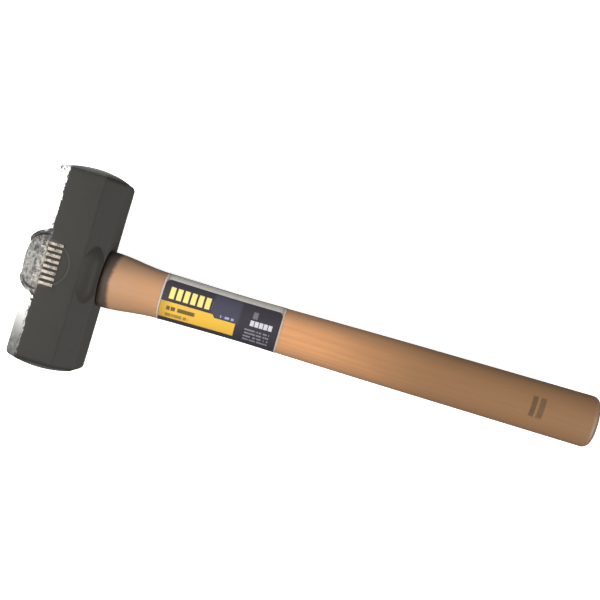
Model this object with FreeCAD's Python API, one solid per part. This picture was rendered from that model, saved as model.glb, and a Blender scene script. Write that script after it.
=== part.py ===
import FreeCAD, Part
import math
import os

Vector = FreeCAD.Vector

# A double-faced sledge hammer lying on the flat cheek of its head.
# +X runs along the handle, away from the head; +Y along the head; +Z up.
# The origin is on the resting surface, under the middle of the hammer's length.

# Head
head_length = 174.0  # over both crowned striking faces
head_across_flats = 58.0
chamfer_leg = 13.6  # each long corner of the bar, seen from its end
face_crown = 5.0  # how far a striking face stands out in its middle
rim_bevel = 4.0

# Corner bosses beside the eye, where the long chamfers stop
boss_half_length = 26.0
boss_bulge = 6.0  # how far the boss on the outer side stands out
boss_reach = 42.0  # from the head's axis to the crest of a corner
outer_corner_radius = 12.0
inner_corner_radius = 4.0

# Round pad on the upper cheek, with its row of plain raised marks
pad_radius = 19.0
pad_offset = -13.0  # from the head's axis, towards the outer side
pad_height = 0.4
mark_count = 8
mark_pitch = 4.7
mark_length = 12.0
mark_width = 2.6
mark_height = 0.7  # above the pad
mark_offset = -8.5

# Eye: an oval that is narrowest inside, width along the head and height along Z
eye_outer_width = 39.0
eye_outer_height = 29.0
eye_waist_width = 34.0
eye_waist_height = 24.0
eye_inner_width = 38.0
eye_inner_height = 28.0
eye_waist_offset = 3.0  # from the head's axis, towards the handle

# Handle
handle_length = 433.0  # from the head's inner side to the butt
tenon_clearance = 0.05
tenon_recess = 3.0  # how far the tenon stops short of the boss's crest
butt_round = 6.0
butt_dome = 1.6

# Sections of the handle: distance from the shoulder, width along Y, height along Z
shaft_sections = (
    (0.0, 48.5, 35.0),
    (9.0, 47.8, 34.8),
    (21.0, 45.6, 34.0),
    (33.0, 42.6, 33.0),
    (51.0, 40.2, 31.8),
    (81.0, 38.9, 30.4),
    (121.0, 38.1, 29.6),
    (171.0, 39.6, 30.4),
    (251.0, 41.8, 32.0),
    (331.0, 43.2, 33.2),
)
butt_width = 44.6
butt_height = 34.2

# Saw kerf and the wedges in it
kerf_width = 1.6
kerf_run_on = 8.0  # how far the saw kerf runs on past the wooden wedge
wood_wedge_length = 38.0
wood_wedge_thickness = 6.4
steel_wedge_length = 22.0
steel_wedge_width = 20.0
steel_wedge_thickness = 3.4
steel_wedge_tip = 0.6
steel_wedge_spacing = 17.0

# Label and its clear film, with angles round the handle from +Y over the top
label_start = 53.5  # from the shoulder
label_length = 101.0
label_top_angle = 36.0
label_bottom_angle = 184.0
label_thickness = 0.2
glue_gap = 0.05
film_margin = 2.5  # beyond each end of the label
film_top_angle = 8.0
film_bottom_angle = 190.0
film_thickness = 0.15

# Worked out from the sizes above
half_flat = head_across_flats / 2
axis_height = half_flat
hammer_length = boss_bulge + head_across_flats + handle_length
head_x = boss_bulge + half_flat - hammer_length / 2
shoulder_x = head_x + half_flat
butt_x = shoulder_x + handle_length
crest_x = head_x - half_flat - boss_bulge
tenon_x = crest_x + tenon_recess
cheek_top = axis_height + half_flat


def polygon_face(points):
    return Part.Face(Part.makePolygon(points + points[:1]))


def oval(x, width, height):
    """Upright oval across the handle's axis at x."""
    if width >= height:
        ellipse = Part.Ellipse(Vector(0, 0, 0), width / 2, height / 2)
        long_axis = Vector(0, 1, 0)
    else:
        ellipse = Part.Ellipse(Vector(0, 0, 0), height / 2, width / 2)
        long_axis = Vector(0, 0, 1)
    short_axis = Vector(1, 0, 0).cross(long_axis)
    turn = FreeCAD.Rotation(long_axis, short_axis, Vector(1, 0, 0), "ZXY")
    wire = Part.Wire([ellipse.toShape()])
    wire.Placement = FreeCAD.Placement(Vector(x, 0, axis_height), turn)
    return wire


def octagon(y, half, leg):
    """Upright octagon across the head's axis at y, wound the same way every time."""
    flat = half - leg
    corners = (
        (-flat, -half), (flat, -half), (half, -flat), (half, flat),
        (flat, half), (-flat, half), (-half, flat), (-half, -flat),
    )
    points = [Vector(head_x + x, y, axis_height + z) for x, z in corners]
    return Part.makePolygon(points + points[:1])


def make_bar():
    """The octagonal bar with a bevelled rim and a crowned face at each end."""
    rim_y = head_length / 2 - face_crown
    bevel_y = rim_y - rim_bevel
    end_step = head_length / 2 - bevel_y
    end_leg = chamfer_leg - (2 - math.sqrt(2)) * end_step
    sections = [
        octagon(-head_length / 2, half_flat - end_step, end_leg),
        octagon(-bevel_y, half_flat, chamfer_leg),
        octagon(bevel_y, half_flat, chamfer_leg),
        octagon(head_length / 2, half_flat - end_step, end_leg),
    ]
    bar = Part.makeLoft(sections, True, True)
    face_half = half_flat - rim_bevel
    crown_radius = (face_half ** 2 + face_crown ** 2) / (2 * face_crown)
    for side in (-1, 1):
        centre_y = side * (head_length / 2 - crown_radius)
        crown = Part.makeSphere(crown_radius, Vector(head_x, centre_y, axis_height))
        end_y = bevel_y if side > 0 else -bevel_y - head_across_flats
        end_block = Part.makeBox(
            2 * head_across_flats, head_across_flats, 2 * head_across_flats,
            Vector(head_x - head_across_flats, end_y, axis_height - head_across_flats),
        )
        bar = bar.cut(end_block.cut(crown))
    return bar


def long_level_edges(shape, low_x, high_x):
    """Level edges that run along most of the boss and lie between two places along X."""
    found = []
    for edge in shape.Edges:
        box = edge.BoundBox
        runs_along = box.ZLength < 0.01 and box.YLength > boss_half_length
        if runs_along and box.XMin >= low_x and box.XMax <= high_x:
            found.append(edge)
    return found


def make_boss():
    """The square middle of the head, bulging on its outer side and swept down at both ends."""
    block_half = boss_half_length + 2
    block = Part.makeBox(
        head_across_flats + boss_bulge, 2 * block_half, head_across_flats,
        Vector(crest_x, -block_half, 0),
    )
    bulge_radius = (boss_half_length ** 2 + boss_bulge ** 2) / (2 * boss_bulge)
    bulge = Part.makeCylinder(
        bulge_radius, head_across_flats, Vector(crest_x + bulge_radius, 0, 0)
    )
    block = block.common(bulge)
    outer_edges = long_level_edges(block, crest_x - boss_bulge, head_x)
    block = block.makeFillet(outer_corner_radius, outer_edges)
    inner_edges = long_level_edges(block, shoulder_x - 0.1, shoulder_x + 0.1)
    block = block.makeFillet(inner_corner_radius, inner_edges)
    chamfer_distance = (head_across_flats - chamfer_leg) / math.sqrt(2)
    sag = boss_reach - chamfer_distance
    sweep_radius = (boss_half_length ** 2 + sag ** 2) / (2 * sag)
    sag_at_end = sweep_radius - math.sqrt(sweep_radius ** 2 - block_half ** 2)
    end_reach = boss_reach - sag_at_end
    start = Vector(head_x + end_reach, -block_half, axis_height)
    crest = Vector(head_x + boss_reach, 0, axis_height)
    end = Vector(head_x + end_reach, block_half, axis_height)
    axis_end = Vector(head_x, block_half, axis_height)
    axis_start = Vector(head_x, -block_half, axis_height)
    outline = Part.Wire([
        Part.Arc(start, crest, end).toShape(),
        Part.makeLine(end, axis_end),
        Part.makeLine(axis_end, axis_start),
        Part.makeLine(axis_start, start),
    ])
    barrel = Part.Face(outline).revolve(axis_start, Vector(0, 1, 0), 360)
    return block.common(barrel)


def make_marks():
    """A low round pad on the upper cheek with a row of plain raised bars on it."""
    pad_sink = 1.0
    pad_x = head_x + pad_offset
    pad = Part.makeCylinder(
        pad_radius, pad_height + pad_sink, Vector(pad_x, 0, cheek_top - pad_sink)
    )
    inner_x = head_x - half_flat + outer_corner_radius
    limit = Part.makeBox(
        2 * pad_radius, 2 * pad_radius, pad_height + pad_sink,
        Vector(inner_x, -pad_radius, cheek_top - pad_sink),
    )
    marks = pad.common(limit)
    for index in range(mark_count):
        mark_y = (index - (mark_count - 1) / 2) * mark_pitch
        corner = Vector(
            head_x + mark_offset - mark_length / 2,
            mark_y - mark_width / 2,
            cheek_top - pad_sink,
        )
        bar = Part.makeBox(mark_length, mark_width, pad_sink + pad_height + mark_height, corner)
        marks = marks.fuse(bar)
    return marks


def make_eye(clearance, start_x, end_x):
    """The oval hole's own shape, drawn in by a clearance and cut off at both ends."""
    shrink = 2 * clearance
    sections = [
        oval(crest_x - 2, eye_outer_width - shrink, eye_outer_height - shrink),
        oval(head_x + eye_waist_offset, eye_waist_width - shrink, eye_waist_height - shrink),
        oval(shoulder_x + 2, eye_inner_width - shrink, eye_inner_height - shrink),
    ]
    eye = Part.makeLoft(sections, True, True)
    slab_half = head_across_flats
    slab = Part.makeBox(
        end_x - start_x, 2 * slab_half, 2 * slab_half,
        Vector(start_x, -slab_half, axis_height - slab_half),
    )
    return eye.common(slab)


def make_head():
    head = make_bar().fuse(make_boss()).fuse(make_marks())
    return head.cut(make_eye(0, crest_x - 2, shoulder_x + 2))


def make_shaft(offset):
    """The handle from its shoulder to the start of its rounded butt, grown by an offset."""
    grow = 2 * offset
    sections = [
        oval(shoulder_x + distance, width + grow, height + grow)
        for distance, width, height in shaft_sections
    ]
    sections.append(oval(butt_x - butt_round - butt_dome, butt_width + grow, butt_height + grow))
    return Part.makeLoft(sections, True, True)


def make_butt():
    """The rounded and slightly domed end of the handle."""
    start_x = butt_x - butt_round - butt_dome
    sections = []
    steps = 4
    for step in range(steps + 1):
        angle = math.radians(75.0 * step / steps)
        inset = butt_round * (1 - math.cos(angle))
        x = start_x + butt_round * math.sin(angle)
        sections.append(oval(x, butt_width - 2 * inset, butt_height - 2 * inset))
    dome_inset = 2.2 * butt_round
    sections.append(oval(butt_x, butt_width - 2 * dome_inset, butt_height - 2 * dome_inset))
    return Part.makeLoft(sections, True, True)


def make_wood_wedge_blank():
    """The tapered slab that the wooden wedge fills, across the whole tenon."""
    half_top = wood_wedge_thickness / 2
    half_tip = kerf_width / 2
    tip_x = tenon_x + wood_wedge_length
    reach = head_across_flats
    points = [
        Vector(tenon_x, -reach / 2, axis_height - half_top),
        Vector(tip_x, -reach / 2, axis_height - half_tip),
        Vector(tip_x, -reach / 2, axis_height + half_tip),
        Vector(tenon_x, -reach / 2, axis_height + half_top),
    ]
    return polygon_face(points).extrude(Vector(0, reach, 0))


def make_steel_wedge(side):
    """A steel wedge driven across the wooden one, on one side of the handle's axis."""
    middle_y = side * steel_wedge_spacing / 2
    tip_x = tenon_x + steel_wedge_length
    low_z = axis_height - steel_wedge_width / 2
    points = [
        Vector(tenon_x, middle_y - steel_wedge_thickness / 2, low_z),
        Vector(tip_x, middle_y - steel_wedge_tip / 2, low_z),
        Vector(tip_x, middle_y + steel_wedge_tip / 2, low_z),
        Vector(tenon_x, middle_y + steel_wedge_thickness / 2, low_z),
    ]
    return polygon_face(points).extrude(Vector(0, 0, steel_wedge_width))


def make_handle(wedges):
    tenon = make_eye(tenon_clearance, tenon_x, shoulder_x)
    kerf = Part.makeBox(
        wood_wedge_length + kerf_run_on, head_across_flats, kerf_width,
        Vector(tenon_x, -half_flat, axis_height - kerf_width / 2),
    )
    tenon = tenon.cut(kerf).cut(make_wood_wedge_blank())
    for wedge in wedges:
        tenon = tenon.cut(wedge)
    return make_shaft(0).fuse(make_butt()).fuse(tenon)


def make_wood_wedge(wedges):
    wedge = make_eye(tenon_clearance, tenon_x, shoulder_x).common(make_wood_wedge_blank())
    for steel in wedges:
        wedge = wedge.cut(steel)
    return wedge


def make_sector(start, length, top_angle, bottom_angle):
    """A slice of space round the handle between two angles, for cutting a wrapped sheet."""
    reach = 2 * head_across_flats
    middle_angle = (top_angle + bottom_angle) / 2
    points = [Vector(start, 0, axis_height)]
    for angle in (top_angle, middle_angle, bottom_angle):
        radians = math.radians(angle)
        offset_y = reach * math.cos(radians)
        offset_z = reach * math.sin(radians)
        points.append(Vector(start, offset_y, axis_height + offset_z))
    return polygon_face(points).extrude(Vector(length, 0, 0))


def make_label():
    sector = make_sector(
        shoulder_x + label_start, label_length, label_top_angle, label_bottom_angle
    )
    outside = make_shaft(glue_gap + label_thickness).common(sector)
    return outside.cut(make_shaft(glue_gap))


def make_label_film():
    """The film lies on the wood all round the label and steps up over it."""
    label_face = 2 * glue_gap + label_thickness
    sector = make_sector(
        shoulder_x + label_start - film_margin, label_length + 2 * film_margin,
        film_top_angle, film_bottom_angle,
    )
    label_sector = make_sector(
        shoulder_x + label_start - glue_gap, label_length + 2 * glue_gap,
        label_top_angle - 0.2, label_bottom_angle + 0.2,
    )
    film = make_shaft(label_face + film_thickness).common(sector)
    film = film.cut(make_shaft(label_face).common(label_sector))
    return film.cut(make_shaft(glue_gap))


def main():
    os.makedirs("parts", exist_ok=True)
    steel_wedges = [make_steel_wedge(-1), make_steel_wedge(1)]
    pieces = {
        "hammer_head": make_head(),
        "handle": make_handle(steel_wedges),
        "wood_wedge": make_wood_wedge(steel_wedges),
        "steel_wedge_left": steel_wedges[0],
        "steel_wedge_right": steel_wedges[1],
        "label": make_label(),
        "label_film": make_label_film(),
    }
    for name, shape in pieces.items():
        shape.exportStep("parts/" + name + ".step")
        box = shape.optimalBoundingBox(False)
        print(
            f"{name}: {len(shape.Solids)} solid, valid {shape.isValid()}, "
            f"{shape.Volume / 1000:.2f} cm3, X {box.XMin:.2f} to {box.XMax:.2f}, "
            f"Y {box.YMin:.2f} to {box.YMax:.2f}, Z {box.ZMin:.2f} to {box.ZMax:.2f}"
        )


main()
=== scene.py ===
import math

import bmesh
import bpy
import numpy as np
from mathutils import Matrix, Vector


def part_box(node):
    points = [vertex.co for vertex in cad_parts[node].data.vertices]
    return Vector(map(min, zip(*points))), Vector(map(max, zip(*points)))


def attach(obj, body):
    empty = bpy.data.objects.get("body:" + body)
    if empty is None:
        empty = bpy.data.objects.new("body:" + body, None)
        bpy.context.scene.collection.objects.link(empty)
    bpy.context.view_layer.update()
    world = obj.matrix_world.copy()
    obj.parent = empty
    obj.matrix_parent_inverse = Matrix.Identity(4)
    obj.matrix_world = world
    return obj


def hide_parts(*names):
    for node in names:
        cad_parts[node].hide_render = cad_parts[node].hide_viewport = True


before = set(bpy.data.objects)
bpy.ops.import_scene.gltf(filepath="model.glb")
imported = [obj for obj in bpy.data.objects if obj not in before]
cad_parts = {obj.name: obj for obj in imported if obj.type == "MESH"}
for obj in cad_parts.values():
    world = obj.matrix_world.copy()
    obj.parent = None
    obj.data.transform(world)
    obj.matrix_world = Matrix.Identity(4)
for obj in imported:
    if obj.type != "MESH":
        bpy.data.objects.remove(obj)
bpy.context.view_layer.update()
mm = 0.001
scene = bpy.context.scene
print("frame loaded")

# Where the head and the handle lie, read from the frame
headLow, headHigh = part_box("hammer_head")
handleLow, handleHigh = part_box("handle")
axisHeight = (handleLow.z + handleHigh.z) / 2
innerSide = headHigh.x
buttEnd = handleHigh.x


class Wire:  # an output socket that can be used in sums
    def __init__(self, tree, socket):
        self.tree = tree
        self.socket = socket

    def __add__(self, other):
        return self.tree.maths("ADD", self, other)

    def __radd__(self, other):
        return self.tree.maths("ADD", other, self)

    def __sub__(self, other):
        return self.tree.maths("SUBTRACT", self, other)

    def __rsub__(self, other):
        return self.tree.maths("SUBTRACT", other, self)

    def __mul__(self, other):
        return self.tree.maths("MULTIPLY", self, other)

    def __rmul__(self, other):
        return self.tree.maths("MULTIPLY", other, self)

    def __truediv__(self, other):
        return self.tree.maths("DIVIDE", self, other)

    def __rtruediv__(self, other):
        return self.tree.maths("DIVIDE", other, self)

    def __pow__(self, other):
        return self.tree.maths("POWER", self, other)

    def __abs__(self):
        return self.tree.maths("ABSOLUTE", self)

    def __neg__(self):
        return self.tree.maths("MULTIPLY", self, -1.0)


class Tree:  # a shader or geometry tree, filled by one method
    def __init__(self, nodeTree):
        self.nodeTree = nodeTree

    def add(self, kind, settings=None, inputs=None, out=0):
        node = self.nodeTree.nodes.new(kind)
        for name, value in (settings or {}).items():
            if name == "curve":
                self.setCurve(node.mapping, value)
            else:
                setattr(node, name, value)
        for key, value in (inputs or {}).items():
            if isinstance(value, Wire):
                self.nodeTree.links.new(value.socket, node.inputs[key])
            else:
                node.inputs[key].default_value = value
        if out is None:
            return node
        return Wire(self, node.outputs[out])

    def setCurve(self, mapping, points):
        curve = mapping.curves[0]
        while len(curve.points) < len(points):
            curve.points.new(0.5, 0.5)
        for point, (across, up) in zip(curve.points, points):
            point.location = (across, up)
        mapping.update()

    def maths(self, operation, *values, clamp=False):
        settings = {"operation": operation, "use_clamp": clamp}
        return self.add("ShaderNodeMath", settings, dict(enumerate(values)))

    def clamp(self, value):
        return self.maths("ADD", value, 0.0, clamp=True)

    def lower(self, first, second):
        return self.maths("MINIMUM", first, second)

    def upper(self, first, second):
        return self.maths("MAXIMUM", first, second)

    def step(self, value, start, end):  # 0 before start, 1 after end, eased between
        settings = {"interpolation_type": "SMOOTHSTEP"}
        return self.add("ShaderNodeMapRange", settings, {0: value, 1: start, 2: end})

    def split(self, vector):
        node = self.add("ShaderNodeSeparateXYZ", None, {0: vector}, out=None)
        return [Wire(self, socket) for socket in node.outputs]

    def vector(self, x, y, z):
        return self.add("ShaderNodeCombineXYZ", None, {0: x, 1: y, 2: z})

    def mix(self, factor, first, second):  # colours
        first = first if isinstance(first, Wire) else (*first, 1.0)
        second = second if isinstance(second, Wire) else (*second, 1.0)
        return self.add("ShaderNodeMix", {"data_type": "RGBA"}, {0: factor, 6: first, 7: second}, out=2)

    def noise(self, place, scale, detail=4.0, roughness=0.55, stretch=(1, 1, 1)):
        if stretch != (1, 1, 1):
            place = self.add("ShaderNodeVectorMath", {"operation": "MULTIPLY"}, {0: place, 1: stretch})
        inputs = {"Vector": place, "Scale": scale, "Detail": detail, "Roughness": roughness}
        return self.add("ShaderNodeTexNoise", None, inputs)


def newMaterial(name):
    material = bpy.data.materials.new(name)
    material.use_nodes = True
    material.node_tree.nodes.clear()
    return material, Tree(material.node_tree)


def finishMaterial(tree, surface):
    tree.add("ShaderNodeOutputMaterial", None, {"Surface": surface}, out=None)


def newGeometryTree(name, inputs):
    group = bpy.data.node_groups.new(name, "GeometryNodeTree")
    group.is_modifier = True
    kinds = {float: "NodeSocketFloat", int: "NodeSocketInt"}
    group.interface.new_socket(name="Geometry", in_out="INPUT", socket_type="NodeSocketGeometry")
    for label, value in inputs.items():
        kind = kinds.get(type(value))
        if isinstance(value, bpy.types.Material):
            kind = "NodeSocketMaterial"
        if isinstance(value, bpy.types.Object):
            kind = "NodeSocketObject"
        group.interface.new_socket(name=label, in_out="INPUT", socket_type=kind)
    group.interface.new_socket(name="Geometry", in_out="OUTPUT", socket_type="NodeSocketGeometry")
    tree = Tree(group)
    entry = tree.add("NodeGroupInput", out=None)
    wires = {socket.name: Wire(tree, socket) for socket in entry.outputs if socket.name}
    return group, tree, wires


def finishGeometry(tree, geometry, material):
    geometry = tree.add("GeometryNodeRealizeInstances", None, {0: geometry})
    geometry = tree.add("GeometryNodeSetMaterial", None, {"Geometry": geometry, "Material": material})
    tree.add("NodeGroupOutput", None, {0: geometry}, out=None)


def newPiece(name, mesh=None):
    piece = bpy.data.objects.new(name, mesh or bpy.data.meshes.new(name))
    scene.collection.objects.link(piece)
    return piece


def bake(piece):  # turns a piece's modifiers into a plain mesh
    graph = bpy.context.evaluated_depsgraph_get()
    mesh = bpy.data.meshes.new_from_object(piece.evaluated_get(graph))
    piece.modifiers.clear()
    piece.data = mesh
    mesh.name = piece.name
    return piece


def grow(piece, group, values):  # runs a geometry tree on a piece
    modifier = piece.modifiers.new(group.name, "NODES")
    modifier.node_group = group
    for item in group.interface.items_tree:
        if item.item_type == "SOCKET" and item.in_out == "INPUT" and item.name in values:
            modifier[item.identifier] = values[item.name]


def combine(piece, other, operation):
    modifier = piece.modifiers.new(operation, "BOOLEAN")
    modifier.operation = operation
    modifier.solver = "EXACT"
    modifier.object = other
    bake(piece)
    bpy.data.objects.remove(other)


def cleanUp(piece, sharpAngle=32):
    work = bmesh.new()
    work.from_mesh(piece.data)
    bmesh.ops.remove_doubles(work, verts=work.verts, dist=0.004 * mm)
    bmesh.ops.dissolve_degenerate(work, dist=0.002 * mm, edges=work.edges)
    bmesh.ops.recalc_face_normals(work, faces=work.faces)
    for face in work.faces:
        face.smooth = True
    for edge in work.edges:
        if len(edge.link_faces) == 2:
            edge.smooth = edge.calc_face_angle(0.0) < math.radians(sharpAngle)
    work.to_mesh(piece.data)
    work.free()
    return piece


def meshFromRings(name, rings):  # a skin over rings of points, closed at both ends
    ringCount, count, _ = rings.shape
    points = [tuple(point) for point in rings.reshape(-1, 3)]
    faces = []
    for ring in range(ringCount - 1):
        for step in range(count):
            after = (step + 1) % count
            faces.append((
                ring * count + step, ring * count + after,
                (ring + 1) * count + after, (ring + 1) * count + step,
            ))
    last = (ringCount - 1) * count
    faces.append(tuple(range(count)))
    faces.append(tuple(last + step for step in reversed(range(count))))
    mesh = bpy.data.meshes.new(name)
    mesh.from_pydata(points, [], faces)
    mesh.update()
    return newPiece(name, mesh)


def cutterFrom(node):  # a welded copy of a CAD node, for cutting with
    copy = newPiece(node + "Cutter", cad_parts[node].data.copy())
    return cleanUp(copy)


def finishPiece(piece, slot, *nodes):
    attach(piece, "root")
    if nodes:
        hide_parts(*nodes)
    return piece


head = {
    "length": headHigh.y - headLow.y,
    "flats": 58 * mm,
    "chamfer": 13.6 * mm,
    "crown": 5.0 * mm,
    "rimRound": 4.8 * mm,
    "rimTurn": 68.0,
    "rimSteps": 8,
    "edgeSharpness": 150,
    "edgeBunching": 0.11,
    "flatSteps": 30,
    "chamferSteps": 28,
    "ringGap": 0.85 * mm,
    "faceRings": 18,
    "relief": 0.10 * mm,
}
boss = {  # the swollen corners beside the eye
    "sideHalf": 15.5 * mm,  # half length round the outer side
    "cheekHalf": 27.0 * mm,  # half length where it meets the cheek
    "innerHalf": 22.0 * mm,
    "fallRun": 1.7 * mm,
    "innerFallRun": 24.0 * mm,
    "bulge": 6.0 * mm,
    "reach": 42.0 * mm,
    "sag": 3.0 * mm,
    "outerSquareness": 5.4,
    "innerSquareness": 6.0,
    "cheekBlend": (0.40, 0.86),  # sines between which the outer side becomes the cheek
    "lip": 1.9 * mm,  # forging flash along each end
    "lipPlace": 1.6 * mm,
    "lipWidth": 0.9 * mm,
    "crease": 1.7 * mm,
    "creasePlace": 4.2 * mm,
    "creaseWidth": 0.8 * mm,
    "relief": 0.60 * mm,
}
pad = {"radius": 19.0 * mm, "offset": -13.0 * mm, "height": 0.4 * mm}
headX = innerSide - head["flats"] / 2
halfFlat = head["flats"] / 2
chamferDistance = (head["flats"] - head["chamfer"]) / math.sqrt(2)
cheekTop = axisHeight + halfFlat


def smooth(value, start, end):  # 0 before start, 1 after end
    part = np.clip((value - start) / (end - start), 0, 1)
    return part * part * (3 - 2 * part)


def octagonRadius(angle, inset):
    # eight planes joined softly, so that every long edge is a small round
    total = np.zeros_like(angle)
    for index in range(8):
        distance = halfFlat if index % 2 == 0 else chamferDistance
        lean = np.cos(angle - index * math.pi / 4)
        total += (np.clip(lean, 0, None) * halfFlat / (distance - inset)) ** head["edgeSharpness"]
    return halfFlat * total ** (-1 / head["edgeSharpness"])


def bossRadius(angle, y):
    outward = -np.cos(angle) > 0
    toCheek = smooth(np.abs(np.sin(angle)), *boss["cheekBlend"])
    outerHalf = boss["sideHalf"] + (boss["cheekHalf"] - boss["sideHalf"]) * toCheek
    half = np.where(outward, outerHalf, boss["innerHalf"])
    bulge = boss["bulge"] * np.clip(1 - (y / boss["cheekHalf"]) ** 2, 0, None)
    halfX = np.where(outward, halfFlat + bulge, halfFlat)
    power = np.where(outward, boss["outerSquareness"], boss["innerSquareness"])
    across = np.abs(np.cos(angle)) / halfX
    up = np.abs(np.sin(angle)) / halfFlat
    square = (across ** power + up ** power) ** (-1 / power)
    reach = boss["reach"] - boss["sag"] * (y / boss["cheekHalf"]) ** 2
    fromEnd = half - abs(y)
    offCheek = 1 - smooth(np.abs(np.sin(angle)), 0.80, 0.90)
    lip = boss["lip"] * np.exp(-((fromEnd - boss["lipPlace"]) / boss["lipWidth"]) ** 2)
    crease = boss["crease"] * np.exp(-((fromEnd - boss["creasePlace"]) / boss["creaseWidth"]) ** 2)
    fallRun = np.where(outward, boss["fallRun"], boss["innerFallRun"])
    fall = (1 - smooth(fromEnd, -fallRun, fallRun / 2)) * halfFlat / 2
    radius = np.minimum(square, reach) + (lip - crease) * np.where(outward, offCheek, 0)
    return radius - fall


def headAngles():
    # closer together near the octagon's edges
    flatHalfAngle = math.atan2(halfFlat - head["chamfer"], halfFlat)
    angles = []
    for index in range(4):
        middle = index * math.pi / 2
        flatEnd = middle + flatHalfAngle
        chamferEnd = middle + math.pi / 2 - flatHalfAngle
        spans = (
            (middle - flatHalfAngle, flatEnd, head["flatSteps"]),
            (flatEnd, chamferEnd, head["chamferSteps"]),
        )
        for start, end, steps in spans:
            for step in range(steps):
                part = step / steps
                eased = part - head["edgeBunching"] * math.sin(2 * math.pi * part)
                angles.append(start + (end - start) * eased)
    return np.array(angles)


def buildHead():
    angles = headAngles()
    turnEnd = math.radians(head["rimTurn"])
    rimY = head["length"] / 2 - head["crown"]
    bevelY = rimY - head["rimRound"] * math.sin(turnEnd)
    places = []
    count = round(2 * bevelY / head["ringGap"])
    for step in range(count + 1):
        places.append((-bevelY + 2 * bevelY * step / count, 0.0))
    for step in range(1, head["rimSteps"] + 1):
        turn = turnEnd * step / head["rimSteps"]
        inset = head["rimRound"] * (1 - math.cos(turn))
        along = head["rimRound"] * math.sin(turn)
        places.insert(0, (-bevelY - along, inset))
        places.append((bevelY + along, inset))
    rings = []
    blendRun = 0.5 * mm
    for y, inset in places:
        radius = octagonRadius(angles, inset)
        raised = bossRadius(angles, y) - inset
        blend = np.clip(0.5 + 0.5 * (raised - radius) / blendRun, 0, 1)
        radius = radius + (raised - radius) * blend + blendRun * blend * (1 - blend) * 0.5
        x = headX + radius * np.cos(angles)
        z = axisHeight + radius * np.sin(angles)
        rings.append(np.stack([x, np.full_like(x, y), z], axis=1))
    caps = [[], []]
    centre = np.array([headX, 0, axisHeight])
    for side, ring in ((0, rings[0]), (1, rings[-1])):
        rimRadius = np.hypot(ring[:, 0] - centre[0], ring[:, 2] - centre[2])
        for step in range(1, head["faceRings"] + 1):
            part = max(1 - step / head["faceRings"], 0.002)
            cap = centre + (ring - centre) * part
            roundFall = (part * rimRadius / rimRadius.mean()) ** 2
            fall = roundFall + (part ** 2 - roundFall) * part ** 6
            rise = head["crown"] * (1 - fall)
            cap[:, 1] = (rimY + rise) * (1 if side else -1)
            caps[side].append(cap)
    rings = caps[0][::-1] + rings + caps[1]
    return meshFromRings("sledge_head", np.array(rings))


def buildReliefTree():
    # pushes the surface in and out with noise, more strongly on the rough boss, and lifts the pad
    inputs = {
        "Depth": 0.0, "Boss Depth": 0.0, "Boss Half": 0.0, "Head X": 0.0, "Axis": 0.0,
        "Chamfer": 0.0, "Cheek": 0.0, "Pad Radius": 0.0, "Pad X": 0.0, "Pad Height": 0.0,
    }
    group, tree, wires = newGeometryTree("forgedRelief", inputs)
    place = tree.add("GeometryNodeInputPosition")
    normal = tree.add("GeometryNodeInputNormal")
    x, y, z = tree.split(place)
    acrossX = x - wires["Head X"]
    diagonal = (abs(acrossX) + abs(z - wires["Axis"])) * math.sqrt(0.5)
    alongBoss = 1 - tree.step(abs(y), wires["Boss Half"] - 1 * mm, wires["Boss Half"] + 2 * mm)
    outerSide = 1 - tree.step(acrossX, -20 * mm, -12 * mm)
    beyond = tree.step(diagonal, wires["Chamfer"] + 0.2 * mm, wires["Chamfer"] + 2.5 * mm)
    beyondSide = 1 - tree.step(acrossX, -30.5 * mm, -29.2 * mm)
    onBoss = tree.upper(beyond, beyondSide) * alongBoss * outerSide
    broad = tree.noise(place, 42.0, 3.0) - 0.5
    lumps = tree.noise(place, 190.0, 4.0, 0.6) - 0.5
    grit = tree.noise(place, 620.0, 2.0, 0.6) - 0.5
    depth = (broad * 2 + lumps * 0.6) * wires["Depth"]
    depth = depth + (lumps * 1.6 + grit * 0.8) * wires["Boss Depth"] * onBoss
    offset = tree.add("ShaderNodeVectorMath", {"operation": "SCALE"}, {0: normal, "Scale": depth})
    moved = tree.add("GeometryNodeSetPosition", None, {"Geometry": wires["Geometry"], "Offset": offset})
    fromPad = ((x - wires["Pad X"]) ** 2.0 + abs(y) ** 2.0) ** 0.5
    onPad = 1 - tree.step(fromPad, wires["Pad Radius"] - 0.9 * mm, wires["Pad Radius"] + 0.9 * mm)
    onPad = onPad * tree.step(z, wires["Cheek"] - 0.6 * mm, wires["Cheek"] - 0.15 * mm)
    rise = tree.vector(0.0, 0.0, onPad * wires["Pad Height"])
    lifted = tree.add("GeometryNodeSetPosition", None, {"Geometry": moved, "Offset": rise})
    tree.add("NodeGroupOutput", None, {0: lifted}, out=None)
    return group


marks = {
    "count": 8,
    "pitch": 4.7 * mm,
    "length": 12.0 * mm,
    "width": 2.5 * mm,
    "height": 1.1 * mm,  # above the cheek
    "offset": -8.5 * mm,
    "sink": 1.5 * mm,
    "bevel": 0.35 * mm,
}
ticks = {
    "count": 9,
    "pitch": 4.1 * mm,
    "length": 4.2 * mm,
    "width": 1.5 * mm,
    "height": 0.35 * mm,
    "offset": -18.6 * mm,
    "sink": 2.5 * mm,
    "bevel": 0.3 * mm,
}


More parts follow.
